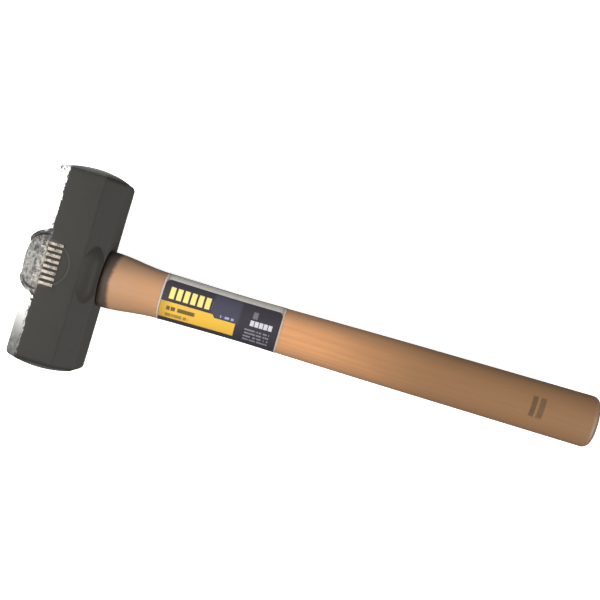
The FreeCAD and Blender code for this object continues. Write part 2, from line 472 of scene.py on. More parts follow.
def buildMarksTree(material):
    inputs = {
        "Count": 0, "Pitch": 0.0, "Length": 0.0, "Width": 0.0, "Depth": 0.0,
        "X": 0.0, "Z": 0.0, "Material": material,
    }
    group, tree, wires = newGeometryTree("raisedMarks", inputs)
    half = (wires["Count"] - 1.0) * wires["Pitch"] * 0.5
    start = tree.vector(wires["X"], -half, wires["Z"])
    stepOn = tree.vector(0.0, wires["Pitch"], 0.0)
    line = tree.add(
        "GeometryNodeMeshLine", {"mode": "OFFSET"},
        {"Count": wires["Count"], "Start Location": start, "Offset": stepOn},
    )
    size = tree.vector(wires["Length"], wires["Width"], wires["Depth"])
    bar = tree.add("GeometryNodeMeshCube", None, {"Size": size})
    bars = tree.add("GeometryNodeInstanceOnPoints", None, {"Points": line, "Instance": bar})
    finishGeometry(tree, bars, wires["Material"])
    return group


def makeMarks(group, sizes, material):
    piece = newPiece("marks")
    depth = sizes["height"] + sizes["sink"]
    grow(piece, group, {
        "Count": sizes["count"], "Pitch": sizes["pitch"], "Length": sizes["length"],
        "Width": sizes["width"], "Depth": depth, "X": headX + sizes["offset"],
        "Z": cheekTop + sizes["height"] - depth / 2, "Material": material,
    })
    bevel = piece.modifiers.new("bevel", "BEVEL")
    bevel.width = sizes["bevel"]
    bevel.segments = 2
    return bake(piece)


eye = {
    "outerWidth": 39 * mm, "outerHeight": 29 * mm,
    "waistWidth": 34 * mm, "waistHeight": 24 * mm,
    "innerWidth": 38 * mm, "innerHeight": 28 * mm,
    "waistOffset": 3 * mm, "overrun": 2 * mm, "segments": 120,
}


def ovalRing(x, width, height, count):
    turn = np.linspace(0, 2 * math.pi, count, endpoint=False)
    across = width / 2 * np.cos(turn)
    up = height / 2 * np.sin(turn)
    return np.stack([np.full(count, x), across, axisHeight + up], axis=1)


def eyeRings(clearance, startX, endX):
    # the eye is a pair of oval cones that meet at its waist
    waistX = headX + eye["waistOffset"]
    outerX = headLow.x - eye["overrun"]
    innerX = innerSide + eye["overrun"]
    rings = []
    for x in (startX, waistX, endX):
        if x <= waistX:
            part = (waistX - x) / (waistX - outerX)
            width = eye["waistWidth"] + (eye["outerWidth"] - eye["waistWidth"]) * part
            height = eye["waistHeight"] + (eye["outerHeight"] - eye["waistHeight"]) * part
        else:
            part = (x - waistX) / (innerX - waistX)
            width = eye["waistWidth"] + (eye["innerWidth"] - eye["waistWidth"]) * part
            height = eye["waistHeight"] + (eye["innerHeight"] - eye["waistHeight"]) * part
        rings.append(ovalRing(x, width - 2 * clearance, height - 2 * clearance, eye["segments"]))
    return np.array(rings)


def makeHead(material):
    piece = buildHead()
    cleanUp(piece)
    grow(piece, buildReliefTree(), {
        "Depth": head["relief"], "Boss Depth": boss["relief"], "Boss Half": boss["cheekHalf"],
        "Head X": headX, "Axis": axisHeight, "Chamfer": chamferDistance, "Cheek": cheekTop,
        "Pad Radius": pad["radius"], "Pad X": headX + pad["offset"], "Pad Height": pad["height"],
    })
    bake(piece)
    marksTree = buildMarksTree(material)
    for sizes in (marks, ticks):
        combine(piece, makeMarks(marksTree, sizes, material), "UNION")
    overrun = eye["overrun"]
    hole = meshFromRings("eyeCutter", eyeRings(0, headLow.x - overrun, innerSide + overrun))
    combine(piece, cleanUp(hole), "DIFFERENCE")
    cleanUp(piece)
    piece.data.materials.clear()
    piece.data.materials.append(material)
    return finishPiece(piece, "forged_steel", "hammer_head")


steelTones = {  # a pair is the two ends of a blend
    # the second tone on the next line is a lighter paint for the grip-side face: painted light
    "paint": ((0.0205, 0.0196, 0.0170), (0.0280, 0.0268, 0.0236)), "litGripSide": (0.041, 0.039, 0.035),
    # the next tone is near-white bare steel, partly a painted highlight on the outer chamfers
    "litBareSteel": ((0.80, 0.79, 0.76), (0.93, 0.92, 0.90)),
    # the next tone is the darker steel the strip fades to near the ends: painted shade
    "shadedSteel": ((0.07, 0.07, 0.065), (0.23, 0.227, 0.214)),
    # the dark tone at the end of the next line is painted shade for the boss's creases and foot
    "scale": ((0.052, 0.051, 0.050), (0.255, 0.245, 0.230)), "crease": (0.020, 0.019, 0.018),
    "padEdge": (0.10, 0.095, 0.08), "tick": (0.36, 0.33, 0.29), "mark": (0.35, 0.30, 0.25),
    "rim": (0.15, 0.15, 0.14), "face": (0.52, 0.51, 0.49),
}


def forgedSteel():
    material, tree = newMaterial("darkForgedSteel")
    tones = steelTones
    place = tree.add("ShaderNodeTexCoord", out=3)
    x, y, z = tree.split(place)
    acrossX = x - headX
    upZ = z - axisHeight
    alongY = abs(y) / mm
    diagonal = (abs(acrossX) + abs(upZ)) * math.sqrt(0.5) / mm
    ragged = tree.noise(place, 260.0, 5.0, 0.65) - 0.5
    patchy = tree.noise(place, 38.0, 4.0, 0.6) - 0.5
    blotches = tree.noise(place, 330.0, 3.0, 0.6)
    fine = tree.noise(place, 1500.0, 3.0, 0.6) - 0.5
    chamferMm = chamferDistance / mm
    outerSide = 1 - tree.step(acrossX, -4 * mm, 4 * mm)
    edge = (halfFlat - head["chamfer"]) / mm
    fromCheek = -acrossX / mm - edge  # grows down the outer chamfers, away from the cheek
    fromSide = abs(upZ) / mm - edge
    jagged = ragged * 5.0 + patchy * 3.0 + fine * 1.5
    toCheek = tree.step(abs(upZ) / ((acrossX * acrossX + upZ * upZ) ** 0.5), *boss["cheekBlend"])
    bossHalf = boss["sideHalf"] / mm + (boss["cheekHalf"] - boss["sideHalf"]) / mm * toCheek
    besideBoss = 1 - tree.step(alongY - bossHalf + ragged * 2.0, 0.5, 1.5)
    # the strip down the outer chamfers is partly bare ground steel and partly a painted highlight: only the
    # outer side is bared, and its near-white tone stands in for the light falling on that side
    bareAndLit = tree.step(fromCheek + jagged, 0.1, 0.7) * tree.step(fromSide + jagged * 0.4, -0.3, 0.5)
    bareAndLit = bareAndLit * (1 - besideBoss)
    specks = tree.step(blotches + fine * 0.4, 0.53, 0.58) * (1 - tree.step(fromCheek, 1.0, 4.5))
    atTop = tree.step(y / mm, 68.0, 78.0)
    specks = tree.upper(specks, tree.step(blotches + fine * 0.4, 0.48, 0.53) * atTop)
    fromEnd = bossHalf - alongY + ragged * 1.2
    outerFace = 1 - tree.step(acrossX / mm, -29.6, -29.0)
    raised = tree.upper(tree.step(diagonal + ragged * 3.0, chamferMm - 1.2, chamferMm + 0.4), outerFace)
    onBoss = tree.step(fromEnd, -1.2, 0.2) * raised * outerSide
    # dark in the creases and along the foot of each boss end: painted shade
    creaseShade = (1 - tree.step(abs(fromEnd - boss["creasePlace"] / mm), 0.5, 1.3)) * onBoss
    footShade = (1 - tree.step(abs(fromEnd + 0.4), 0.4, 1.2)) * raised * outerSide
    onMark = tree.step(upZ / mm + ragged * 0.3, halfFlat / mm + 0.70, halfFlat / mm + 0.95)
    fromPad = ((acrossX / mm - pad["offset"] / mm) ** 2.0 + alongY ** 2.0) ** 0.5
    padEdge = (1 - tree.step(abs(fromPad - pad["radius"] / mm), 0.2, 1.1)) * tree.step(upZ / mm, 28.5, 29.0)
    halfLength = head["length"] / 2 / mm
    onRim = tree.step(alongY + ragged * 1.2, halfLength - 6.6, halfLength - 4.6)
    onFace = tree.step(alongY + ragged * 0.4, halfLength - 3.6, halfLength - 3.0)

    paint = tree.mix(patchy + 0.5, *tones["paint"])
    # the grip-side face gets a lighter paint: painted light on that face
    litGripSide = tree.step(acrossX / mm, 28.2, 28.9)
    paint = tree.mix(litGripSide * 0.75, paint, tones["litGripSide"])
    litBareSteel = tree.mix(tree.clamp(ragged * 2.0 + 0.5), *tones["litBareSteel"])
    shadedSteel = tree.mix(tree.clamp(ragged * 2.4 + fine + 0.5), *tones["shadedSteel"])
    # the bare strip darkens towards both ends of the head: painted shade
    shadeToEnds = tree.step(-y / mm + ragged * 14.0, 24.0, 72.0)
    shadeToEnds = tree.upper(shadeToEnds, tree.step(y / mm + ragged * 26.0, 74.0, 84.0) * 0.7)
    steel = tree.mix(shadeToEnds, litBareSteel, shadedSteel)
    streaky = tree.noise(place, 420.0, 3.0, 0.6, (1, 0.35, 1)) - 0.5
    tone = tree.step(y / mm, 2.0, 20.0) * -0.34 + 0.06
    scaly = streaky * 1.6 + tone + fine * 1.2 + (blotches - 0.5) * 2.6 + 0.45
    scale = tree.mix(tree.clamp(scaly), *tones["scale"])
    bareAndLit = bareAndLit * (1 - specks)
    colour = tree.mix(bareAndLit, paint, steel)
    colour = tree.mix(onBoss, colour, scale)
    colour = tree.mix(tree.upper(creaseShade, footShade) * 0.85, colour, tones["crease"])
    colour = tree.mix(padEdge * 0.25, colour, tones["padEdge"])
    onTick = tree.step(upZ / mm + ragged * 0.2, halfFlat / mm + 0.16, halfFlat / mm + 0.32)
    onTick = onTick * (1 - tree.step(acrossX / mm, -16.0, -15.0)) * besideBoss
    colour = tree.mix(onTick * tree.clamp(0.55 + (blotches - 0.5) * 4.0), colour, tones["tick"])
    worn = tree.clamp(0.86 + (blotches - 0.5) * 3.4 + fine * 2.2)
    colour = tree.mix(onMark * worn, colour, tones["mark"])
    colour = tree.mix(onRim * 0.6, colour, tones["rim"])
    colour = tree.mix(onFace, colour, tones["face"])
    metallic = tree.upper(tree.upper(bareAndLit * 0.5, onFace * 0.9), onBoss * 0.3)
    metallic = tree.upper(metallic, onMark * 0.3)
    roughness = 0.60 + ragged * 0.12 + patchy * 0.1
    roughness = roughness + onBoss * 0.14 - onFace * 0.16
    height = ragged * 0.5 + fine * 0.35 + onBoss * fine * 1.5
    bump = tree.add("ShaderNodeBump", None, {"Strength": 0.35, "Distance": 0.4 * mm, "Height": height})
    surface = tree.add("ShaderNodeBsdfPrincipled", None, {
        "Base Color": colour, "Metallic": metallic, "Roughness": roughness, "Normal": bump,
        "Specular IOR Level": 0.12,
    })
    finishMaterial(tree, surface)
    return material


handle = {
    "length": buttEnd - innerSide,
    # distance from the shoulder, width along the head, thickness
    "profile": (
        (0, 48.4, 35.0), (9, 47.9, 34.9), (21, 45.7, 34.2), (33, 42.6, 33.0), (51, 39.8, 31.6),
        (81, 38.7, 30.3), (121, 38.0, 29.5), (171, 39.4, 30.4), (251, 41.5, 32.0),
        (331, 42.9, 33.2), (433, 44.6, 34.2),
    ),
    "squareness": 2.25,
    "shoulderRound": 1.4 * mm,
    "buttRound": 5.5 * mm,
    "buttDome": 2.0 * mm,
    "rings": 340,
    "segments": 112,
    "unevenness": 0.22 * mm,
}


def buildHandleTree(material):
    inputs = {
        "Start X": 0.0, "Axis": 0.0, "Length": 0.0, "Widest": 0.0, "Squareness": 0.0,
        "Shoulder Round": 0.0, "Butt Round": 0.0, "Butt Dome": 0.0, "Rings": 0, "Segments": 0,
        "Unevenness": 0.0, "Material": material,
    }
    group, tree, wires = newGeometryTree("ovalHandle", inputs)
    widest = max(width for _, width, _ in handle["profile"])
    lengthMm = handle["length"] / mm
    widthCurve = [(distance / lengthMm, width / widest) for distance, width, _ in handle["profile"]]
    heightCurve = [(distance / lengthMm, height / widest) for distance, _, height in handle["profile"]]
    sheet = tree.add("GeometryNodeMeshGrid", None, {
        "Size X": 1.0, "Size Y": 1.0, "Vertices X": wires["Rings"], "Vertices Y": wires["Segments"] + 1.0,
    })
    u, v, _ = tree.split(tree.add("GeometryNodeInputPosition"))
    capRun = 6 * mm
    roundRun = wires["Shoulder Round"] * (math.pi / 2)
    buttRun = wires["Butt Round"] * (math.pi / 2)
    straight = wires["Length"] - wires["Shoulder Round"] - wires["Butt Round"] - wires["Butt Dome"]
    buttCapRun = 14 * mm
    run = (u + 0.5) * (capRun + roundRun + straight + buttRun + buttCapRun)
    startScale = tree.clamp(run / capRun)
    startTurn = tree.clamp((run - capRun) / roundRun) * (math.pi / 2)
    along = tree.upper(0.0, tree.lower(run - capRun - roundRun, straight))
    endTurn = tree.clamp((run - capRun - roundRun - straight) / buttRun) * (math.pi / 2)
    endScale = 1 - tree.clamp((run - capRun - roundRun - straight - buttRun) / buttCapRun)
    x = wires["Shoulder Round"] * (1 - tree.maths("COSINE", startTurn)) + along
    x = x + wires["Butt Round"] * tree.maths("SINE", endTurn)
    x = x + wires["Butt Dome"] * (1 - endScale * endScale)
    inset = wires["Shoulder Round"] * (1 - tree.maths("SINE", startTurn))
    inset = inset + wires["Butt Round"] * (1 - tree.maths("COSINE", endTurn))
    share = x / wires["Length"]
    halfWidth = tree.add("ShaderNodeFloatCurve", {"curve": widthCurve}, {"Value": share})
    halfHeight = tree.add("ShaderNodeFloatCurve", {"curve": heightCurve}, {"Value": share})
    scale = startScale * endScale
    halfWidth = (halfWidth * wires["Widest"] * 0.5 - inset) * scale
    halfHeight = (halfHeight * wires["Widest"] * 0.5 - inset) * scale
    turn = (v + 0.5) * (2 * math.pi)
    cosine = tree.maths("COSINE", turn)
    sine = tree.maths("SINE", turn)
    power = 2.0 / wires["Squareness"]
    y = halfWidth * tree.maths("SIGN", cosine) * abs(cosine) ** power
    z = halfHeight * tree.maths("SIGN", sine) * abs(sine) ** power
    place = tree.vector(wires["Start X"] + x, y, wires["Axis"] + z)
    shaped = tree.add("GeometryNodeSetPosition", None, {"Geometry": sheet, "Position": place})
    welded = tree.add("GeometryNodeMergeByDistance", None, {"Geometry": shaped, "Distance": 0.01 * mm})
    where = tree.add("GeometryNodeInputPosition")
    normal = tree.add("GeometryNodeInputNormal")
    wobble = (tree.noise(where, 14.0, 2.0, 0.4, (0.5, 1, 1)) - 0.5) * wires["Unevenness"]
    fadeIn = tree.step(share, 0.01, 0.06)
    push = tree.add("ShaderNodeVectorMath", {"operation": "SCALE"}, {0: normal, "Scale": wobble * fadeIn})
    uneven = tree.add("GeometryNodeSetPosition", None, {"Geometry": welded, "Offset": push})
    finishGeometry(tree, uneven, wires["Material"])
    return group, widest * mm


def makeHandle(material):
    group, widest = buildHandleTree(material)
    piece = newPiece("hickory_handle")
    grow(piece, group, {
        "Start X": innerSide, "Axis": axisHeight, "Length": handle["length"], "Widest": widest,
        "Squareness": handle["squareness"], "Shoulder Round": handle["shoulderRound"],
        "Butt Round": handle["buttRound"], "Butt Dome": handle["buttDome"],
        "Rings": handle["rings"], "Segments": handle["segments"],
        "Unevenness": handle["unevenness"], "Material": material,
    })
    bake(piece)
    cleanUp(piece, 60)
    return piece


tenon = {
    "clearance": 0.05 * mm, "overlap": 3 * mm,
    "kerfWidth": 1.6 * mm, "kerfRunOn": 8 * mm, "kerfLead": 1 * mm, "kerfSpan": 60 * mm,
}


def fitTenon(piece, material):
    startX = handleLow.x
    rings = eyeRings(tenon["clearance"], startX, innerSide + tenon["overlap"])
    plug = meshFromRings("tenon", rings)
    combine(piece, cleanUp(plug), "UNION")
    wedgeLow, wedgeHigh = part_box("wood_wedge")
    slot = bpy.data.meshes.new("kerf")
    work = bmesh.new()
    bmesh.ops.create_cube(work, size=1)
    length = wedgeHigh.x - wedgeLow.x + tenon["kerfRunOn"] + tenon["kerfLead"]
    size = Vector((length, tenon["kerfSpan"], tenon["kerfWidth"]))
    middle = Vector((startX - tenon["kerfLead"] + length / 2, 0, axisHeight))
    for vert in work.verts:
        vert.co = Vector(a * b for a, b in zip(vert.co, size)) + middle
    work.to_mesh(slot)
    work.free()
    combine(piece, newPiece("kerf", slot), "DIFFERENCE")
    for node in ("wood_wedge", "steel_wedge_left", "steel_wedge_right"):
        combine(piece, cutterFrom(node), "DIFFERENCE")
    piece.data.materials.clear()
    piece.data.materials.append(material)
    piece.data.polygons.foreach_set("material_index", [0] * len(piece.data.polygons))
    return cleanUp(piece, 40)


woodTones = {  # a pair is the two ends of a blend
    "light": ((0.70, 0.335, 0.142), (0.59, 0.284, 0.122)),
    "dark": ((0.50, 0.240, 0.112), (0.42, 0.200, 0.092)), "pore": (0.24, 0.12, 0.06),
    # of the next line's tones, the first darkens the wood towards the butt, the second is painted shade
    # near the head and the third is painted shade on the handle's sides
    "darkerToButt": (0.215, 0.118, 0.054), "neck": (0.30, 0.170, 0.090), "shadedSides": (0.215, 0.145, 0.100),
    # the first tone on the next line is a painted shadow of the head on the neck
    "headShadowOnNeck": (0.034, 0.024, 0.017), "tenonEnd": (0.130, 0.078, 0.042),
    # the next tone is the butt's dark end grain and painted shade on its rounded rim
    "endGrainAndShade": (0.070, 0.040, 0.024),
}


def hickory():
    material, tree = newMaterial("varnishedHickory")
    tones = woodTones
    place = tree.add("ShaderNodeTexCoord", out=3)
    x, y, z = tree.split(place)
    fromHead = (x - headX) / mm
    sway = tree.noise(place, 9.0, 2.0, 0.5, (0.35, 1, 1)) - 0.5
    ringPlace = ((z - axisHeight) * 0.88 + y * 0.48) / mm + sway * 16.0 + 40.0
    rings = tree.maths("SINE", ringPlace * 2.1) * 0.5 + 0.5
    streaks = tree.noise(place, 420.0, 4.0, 0.6, (0.022, 1, 1))
    pores = tree.noise(place, 1500.0, 2.0, 0.5, (0.03, 1, 1))
    tone = tree.noise(place, 16.0, 3.0, 0.5, (0.4, 1, 1))
    mottle = tree.noise(place, 95.0, 3.0, 0.6, (0.35, 1, 1))
    light = tree.mix(tone, *tones["light"])
    dark = tree.mix(tone, *tones["dark"])
    colour = tree.mix(tree.clamp(rings * 0.25 + streaks * 0.6 + mottle * 0.5 - 0.35), light, dark)
    poreMask = tree.step(pores, 0.60, 0.70)
    colour = tree.mix(poreMask * 0.25, colour, tones["pore"])
    # the wood gets darker towards the butt
    darkerToButt = tree.step(fromHead + (tone - 0.5) * 90.0, 195.0, 330.0)
    endTone = darkerToButt * 0.8
    colour = tree.mix(endTone, colour, tones["darkerToButt"])
    # the wood is darker near the head: painted shade
    shadeNearHead = 1 - tree.step(fromHead + (tone - 0.5) * 40.0, 40.0, 175.0)
    colour = tree.mix(shadeNearHead * 0.80, colour, tones["neck"])
    # the handle's sides are painted darker than its top: painted shade
    shadedSides = tree.upper(tree.step(y / mm, 5.0, 18.0) * 0.55, tree.step(-y / mm, 6.0, 20.0) * 0.35)
    colour = tree.mix(shadedSides * (1 - endTone), colour, tones["shadedSides"])
    # a painted shadow of the head on the neck, where the handle enters the eye
    headShadowOnNeck = 1 - tree.step(fromHead - abs(y) / mm * 0.1 + (streaks - 0.5) * 3.0, 35.3, 39.8)
    colour = tree.mix(headShadowOnNeck * 0.95, colour, tones["headShadowOnNeck"])
    tenonEnd = 1 - tree.step(fromHead, -28.0, -25.0)
    colour = tree.mix(tenonEnd * 0.86, colour, tones["tenonEnd"])
    # the butt's end is dark partly from its own end grain and partly from painted shade on the rounded rim
    endGrainAndShade = tree.step(x, buttEnd - 8.0 * mm, buttEnd - 4.0 * mm)
    colour = tree.mix(endGrainAndShade * 0.85, colour, tones["endGrainAndShade"])
    colour = printBars(tree, colour, x, y, z)
    roughness = 0.40 + (streaks - 0.5) * 0.15 + poreMask * 0.12 + endGrainAndShade * 0.5 + headShadowOnNeck * 0.45
    height = streaks * 0.4 - poreMask * 0.5 + stampedTicks(tree, fromHead, y / mm, z)
    bump = tree.add("ShaderNodeBump", None, {"Strength": 0.22, "Distance": 0.15 * mm, "Height": height})
    surface = tree.add("ShaderNodeBsdfPrincipled", None, {
        "Base Color": colour, "Roughness": roughness, "Normal": bump,
        "Coat Weight": tree.clamp(0.2 - endGrainAndShade * 0.24), "Coat Roughness": 0.3,
    })
    finishMaterial(tree, surface)
    return material


stamp = {"start": 268.0, "end": 352.0, "pitch": 7.6, "slant": 0.35, "reach": 8.0}


def stampedTicks(tree, fromHead, across, z):
    # a worn row of plain slanted ticks pressed into the upper side
    phase = (fromHead + across * stamp["slant"]) / stamp["pitch"]
    tick = abs(tree.maths("FRACT", phase) - 0.5)
    worn = tree.noise(tree.vector(fromHead, across, 0.0), 0.16, 2.0)
    tick = (1 - tree.step(tick, 0.05, 0.14)) * tree.step(worn, 0.42, 0.55)
    inX = tree.step(fromHead, stamp["start"], stamp["start"] + 2) * (
        1 - tree.step(fromHead, stamp["end"] - 2, stamp["end"]))
    inY = 1 - tree.step(abs(across), stamp["reach"] - 1, stamp["reach"])
    return tick * inX * inY * tree.step(z, axisHeight, axisHeight + 2 * mm) * -1.6


buttBars = {
    "middles": (402.9, 409.7), "widths": (4.3, 5.0), "slant": 0.04, "reach": 8.6,
    "ink": (0.072, 0.042, 0.017), "strengths": (0.72, 0.58),
}


def printBars(tree, colour, x, y, z):
    # two plain bars printed across the upper side near the butt
    distance = (x - headX) / mm - y / mm * buttBars["slant"]
    grit = tree.noise(tree.vector(x, y, z), 700.0, 3.0) - 0.5
    worn = tree.noise(tree.vector(x, y, z), 240.0, 2.0)
    onTop = tree.step(z, axisHeight, axisHeight + 2 * mm)
    across = 1 - tree.step(abs(y) / mm + grit * 2.4, buttBars["reach"] - 0.6, buttBars["reach"] + 0.6)
    for middle, width, strength in zip(buttBars["middles"], buttBars["widths"], buttBars["strengths"]):
        off = abs(distance - middle) + grit * 1.4
        bar = 1 - tree.step(off, width / 2 - 0.4, width / 2 + 0.4)
        ink = strength * (0.72 + worn * 0.5)
        colour = tree.mix(tree.clamp(bar * across * onTop * ink), colour, buttBars["ink"])
    return colour


def wedgeWood():
    material, tree = newMaterial("wedgeWood")
    place = tree.add("ShaderNodeTexCoord", out=3)
    speckle = tree.noise(place, 900.0, 4.0, 0.7)
    colour = tree.mix(speckle, (0.36, 0.21, 0.11), (0.60, 0.40, 0.24))
    bump = tree.add("ShaderNodeBump", None, {"Strength": 0.5, "Distance": 0.3 * mm, "Height": speckle})
    surface = tree.add("ShaderNodeBsdfPrincipled", None, {
        "Base Color": colour, "Roughness": 0.7, "Normal": bump,
    })
    finishMaterial(tree, surface)
    return material


def wedgeSteel():
    material, tree = newMaterial("wedgeSteel")
    place = tree.add("ShaderNodeTexCoord", out=3)
    speckle = tree.noise(place, 700.0, 5.0, 0.7)
    colour = tree.mix(speckle, (0.20, 0.19, 0.18), (0.42, 0.41, 0.39))
    bump = tree.add("ShaderNodeBump", None, {"Strength": 0.4, "Distance": 0.2 * mm, "Height": speckle})
    surface = tree.add("ShaderNodeBsdfPrincipled", None, {
        "Base Color": colour, "Metallic": 0.9, "Roughness": 0.3 + speckle * 0.3, "Normal": bump,
    })
    finishMaterial(tree, surface)
    return material


def dressNode(node, material):
    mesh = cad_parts[node].data
    mesh.materials.clear()
    mesh.materials.append(material)


label = {
    "start": 82.4, "length": 101.0,  # from the head's middle, in mm
    "topAngle": 36.0, "bottomAngle": 190.0,
    "corner": 4.5, "thickness": 0.16, "gap": 0.06,
}
film = {
    "start": 79.8, "length": 106.4,
    "topAngle": 4.0, "bottomAngle": 196.0,
    "corner": 0.4, "thickness": 0.10, "gap": 0.26,
}
wrap = {
    "stepsAlong": 110, "stepsRound": 72,
    "meanRadius": 17.3 * mm,  # of the handle under the label
    "rayLength": 0.1,
    "mapUnit": 100.0,  # mm of print for one unit of its map
}


def buildWrapTree(material, target):
    # a sheet laid on another piece's surface, round its long axis
    inputs = {
        "Start X": 0.0, "Axis": 0.0, "Length": 0.0, "Top Angle": 0.0, "Bottom Angle": 0.0,
        "Corner": 0.0, "Gap": 0.0, "Mean Radius": 0.0, "Material": material, "Target": target,
    }
    group, tree, wires = newGeometryTree("wrappedSheet", inputs)
    sheet = tree.add("GeometryNodeMeshGrid", None, {
        "Size X": 1.0, "Size Y": 1.0, "Vertices X": wrap["stepsAlong"], "Vertices Y": wrap["stepsRound"],
    })
    u, v, _ = tree.split(tree.add("GeometryNodeInputPosition"))
    span = wires["Bottom Angle"] - wires["Top Angle"]
    angle = wires["Top Angle"] + (0.5 - v) * span
    arc = (0.5 - v) * span * wires["Mean Radius"]
    fromEdge = tree.lower(arc, span * wires["Mean Radius"] - arc)
    lack = tree.upper(wires["Corner"] - fromEdge, 0.0)
    inset = wires["Corner"] - tree.maths("SQRT", wires["Corner"] ** 2.0 - lack ** 2.0)
    along = inset + (u + 0.5) * (wires["Length"] - inset * 2.0)
    source = tree.vector(wires["Start X"] + along, 0.0, wires["Axis"])
    direction = tree.vector(0.0, tree.maths("COSINE", angle), tree.maths("SINE", angle))
    settings = {"transform_space": "RELATIVE"}
    info = tree.add("GeometryNodeObjectInfo", settings, {"Object": wires["Target"]}, out=None)
    surface = Wire(tree, info.outputs["Geometry"])
    ray = tree.add("GeometryNodeRaycast", None, {
        "Target Geometry": surface, "Source Position": source, "Ray Direction": direction,
        "Ray Length": wrap["rayLength"],
    }, out=None)
    hit = Wire(tree, ray.outputs["Hit Position"])
    lift = tree.add("ShaderNodeVectorMath", {"operation": "SCALE"}, {0: direction, "Scale": wires["Gap"]})
    place = tree.add("ShaderNodeVectorMath", {"operation": "ADD"}, {0: hit, 1: lift})
    sheet = tree.add("GeometryNodeStoreNamedAttribute", {"data_type": "FLOAT2", "domain": "CORNER"}, {
        "Geometry": sheet, "Name": "printPlace",
        "Value": tree.vector(along / mm * (1 / wrap["mapUnit"]), arc / mm * (1 / wrap["mapUnit"]), 0.0),
    })
    laid = tree.add("GeometryNodeSetPosition", None, {"Geometry": sheet, "Position": place})
    finishGeometry(tree, laid, wires["Material"])
    return group


def makeSheet(name, sizes, group, material, target):
    piece = newPiece(name)
    grow(piece, group, {
        "Start X": headX + sizes["start"] * mm, "Axis": axisHeight, "Length": sizes["length"] * mm,
        "Top Angle": math.radians(sizes["topAngle"]), "Bottom Angle": math.radians(sizes["bottomAngle"]),
        "Corner": sizes["corner"] * mm, "Gap": sizes["gap"] * mm, "Mean Radius": wrap["meanRadius"],
        "Material": material, "Target": target,
    })
    solid = piece.modifiers.new("thickness", "SOLIDIFY")
    solid.thickness = sizes["thickness"] * mm
    solid.offset = 1.0
    bake(piece)
    return cleanUp(piece, 50)


def printAxes(tree):  # mm along the flat label and mm down it
    place = tree.add("ShaderNodeUVMap", {"uv_map": "printPlace"})
    u, v, _ = tree.split(place)
    return u * wrap["mapUnit"], v * wrap["mapUnit"]


def paintBox(tree, across, down, box, soft=0.25):
    left, right, top, bottom = box
    inX = tree.step(across, left - soft, left + soft) * (1 - tree.step(across, right - soft, right + soft))
    inY = tree.step(down, top - soft, top + soft) * (1 - tree.step(down, bottom - soft, bottom + soft))
    return inX * inY


def paintRows(tree, across, down, box, pitch, share, seed):
    # rows of plain dashes of uneven lengths, where small print would be
    row = (down - box[2]) / pitch
    line = tree.maths("FRACT", row)
    inLine = 1 - tree.step(line, share - 0.08, share + 0.08)
    words = tree.noise(tree.vector(across, tree.maths("FLOOR", row) * 9.0 + seed, 0.0), 0.5, 1.0)
    return paintBox(tree, across, down, box) * inLine * tree.step(words, 0.40, 0.44)


# boxes are left, right, top and bottom in mm on the flat label
labelPrint = {
    "headline": (5.8, 42.4, 5.8, 16.2), "headlineCount": 6, "headlineFill": 0.70,
    "panel": (0.4, 64.8, 22.0, 33.6),
    "panelTab": (0.4, 44.5, 19.2, 23.0), "tabSlope": 1.4, "tabTip": 49.0,
    "boldRow": (5.8, 31.0, 22.9, 26.8), "lightRow": (5.8, 26.2, 29.0, 32.6),
    "smallRow": (51.0, 64.8, 17.9, 20.4), "badge": (77.3, 81.4, 6.2, 12.4),
    "whiteRow": (76.4, 95.4, 14.2, 19.6), "whitePitch": 3.9,
    "smallPrint": (73.2, 94.6, 23.0, 34.8),
    "blueArea": (43.0, 66.5, 1.0, 22.0),
    "navy": (0.015, 0.012, 0.021), "blue": (0.036, 0.036, 0.062), "ink": (0.045, 0.035, 0.02),
    "yellow": (0.67, 0.395, 0.036), "paleYellow": (0.72, 0.60, 0.17),
    "paleBlue": (0.30, 0.30, 0.48), "grey": (0.35, 0.34, 0.36),
    "white": (0.62, 0.62, 0.66), "dimWhite": (0.42, 0.42, 0.46),
}


